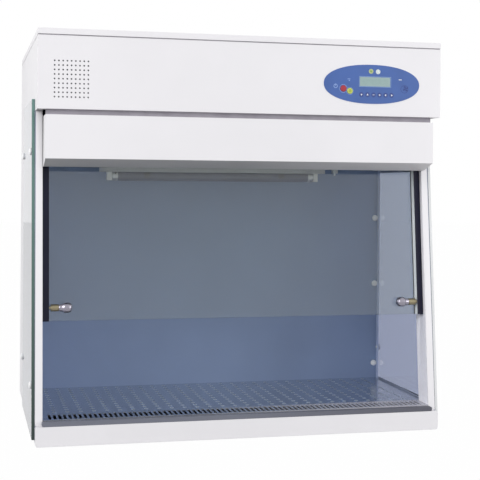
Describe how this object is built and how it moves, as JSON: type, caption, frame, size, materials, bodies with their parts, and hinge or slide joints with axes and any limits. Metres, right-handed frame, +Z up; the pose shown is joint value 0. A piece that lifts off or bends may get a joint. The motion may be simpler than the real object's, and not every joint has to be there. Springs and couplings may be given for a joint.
{
  "type": "laminar flow hood",
  "caption": "Bench laminar flow hood: white sheet-steel cabinet, leaning glass sash, glass sides, perforated steel worktop, control panel, fan and filter in its top",
  "frame": {"origin": "Middle of the footprint, on the surface the feet stand on", "axes": "+Z up, the open front faces -Y, +X to the right of someone standing in front"},
  "size_m": [0.801, 0.576, 0.76],
  "materials": {
    "powder_coat": "satin white powder coat on folded sheet steel",
    "back_paint": "satin blue-grey coat",
    "steel_sheet": "stainless, bright cold rolled",
    "zinc_steel": "zinc plated",
    "tinted_glass": "tinted float glass with polished edges",
    "black_profile": "black anodised, satin",
    "black_rubber": "matt elastomer",
    "grey_foam": "closed-cell foam strip",
    "white_cap": "moulded, satin",
    "filter_paper": "pleated glass-fibre paper",
    "filter_board": "plywood frame",
    "cast_body": "die cast, bead blasted",
    "moulded_black": "moulded, fine grain",
    "moulded_white": "moulded",
    "tube_glass": "white coated lamp glass",
    "circuit_board": "epoxy laminate with solder mask",
    "panel_blue": "printed film overlay",
    "display_green": "liquid crystal display window",
    "lens_plastic": "clear moulded lens",
    "turned_brass": "turned, lightly lacquered",
    "bright_chrome": "polished",
    "key_red_plastic": "moulded key",
    "key_yellow_plastic": "moulded key",
    "nylon": "moulded nylon"
  },
  "bodies": {
    "cabinet": {"base_pan": "powder_coat", "feet": "black_rubber", "front_rail": "powder_coat", "sill_strip": "black_rubber", "side_frame_left": "powder_coat", "side_frame_right": "powder_coat", "side_glass_left": "tinted_glass", "side_glass_right": "tinted_glass", "glass_caps": "white_cap", "back_wall": "back_paint", "wall_caps": "white_cap", "worktop": "steel_sheet", "spill_tray": "steel_sheet", "outer_shell": "powder_coat", "rear_panel": "powder_coat", "panel_screws": "zinc_steel", "lid": "powder_coat", "lid_seal": "grey_foam", "hood_panel": "powder_coat", "hood_spacer": "grey_foam", "ceiling_frame": "powder_coat", "ceiling_grille": "steel_sheet", "filter_frame": "filter_board", "filter_media": "filter_paper", "filter_gasket": "black_rubber", "plenum_box": "zinc_steel", "fan_shelf": "zinc_steel", "fan_housing": "zinc_steel", "fan_motor": "cast_body", "prefilter_frame": "zinc_steel", "prefilter_mat": "filter_paper", "lamp_reflector": "powder_coat", "light_tube": "tube_glass", "lamp_holders": "moulded_white", "lamp_clips": "zinc_steel", "airflow_sensor": "moulded_white", "ballast": "cast_body", "control_board": "circuit_board", "display_module": "circuit_board", "control_panel": "panel_blue", "display_window": "display_green", "indicator_lenses": "lens_plastic", "power_inlet": "moulded_black"},
    "impeller": {"fan_impeller": "zinc_steel", "fan_shaft": "zinc_steel"},
    "sash": {"sash_glass": "tinted_glass", "sash_edge_left": "black_profile", "sash_edge_right": "black_profile", "sash_guides": "nylon", "plunger_bush_left": "turned_brass", "plunger_bush_right": "turned_brass", "plunger_spring_left": "zinc_steel", "plunger_spring_right": "zinc_steel"},
    "plunger_left": {"plunger_pin_left": "zinc_steel", "plunger_knob_left": "bright_chrome"},
    "plunger_right": {"plunger_pin_right": "zinc_steel", "plunger_knob_right": "bright_chrome"},
    "red_key": {"key_red": "key_red_plastic"},
    "yellow_key": {"key_yellow": "key_yellow_plastic"}
  },
  "joints": [
    {"name": "sash_slide", "type": "slide", "parent": "cabinet", "child": "sash", "axis": [0, 0.0993, 0.9951], "range_m": [-0.172, 0.035]},
    {"name": "plunger_left_pull", "type": "slide", "parent": "sash", "child": "plunger_left", "axis": [1, 0, 0], "range_m": [0, 0.005], "stiffness_N_per_m": 900, "springref_m": -0.004, "deforming": ["plunger_spring_left"]},
    {"name": "plunger_right_pull", "type": "slide", "parent": "sash", "child": "plunger_right", "axis": [-1, 0, 0], "range_m": [0, 0.005], "stiffness_N_per_m": 900, "springref_m": -0.004, "deforming": ["plunger_spring_right"]},
    {"name": "fan_spin", "type": "hinge", "parent": "cabinet", "child": "impeller", "pos_m": [0, 0.173, 0.59], "axis": [1, 0, 0], "continuous": true},
    {"name": "red_key_press", "type": "slide", "parent": "cabinet", "child": "red_key", "axis": [0, 1, 0], "range_m": [0, 0.0005], "stiffness_N_per_m": 600, "springref_m": -0.001},
    {"name": "yellow_key_press", "type": "slide", "parent": "cabinet", "child": "yellow_key", "axis": [0, 1, 0], "range_m": [0, 0.0005], "stiffness_N_per_m": 600, "springref_m": -0.001}
  ]
}
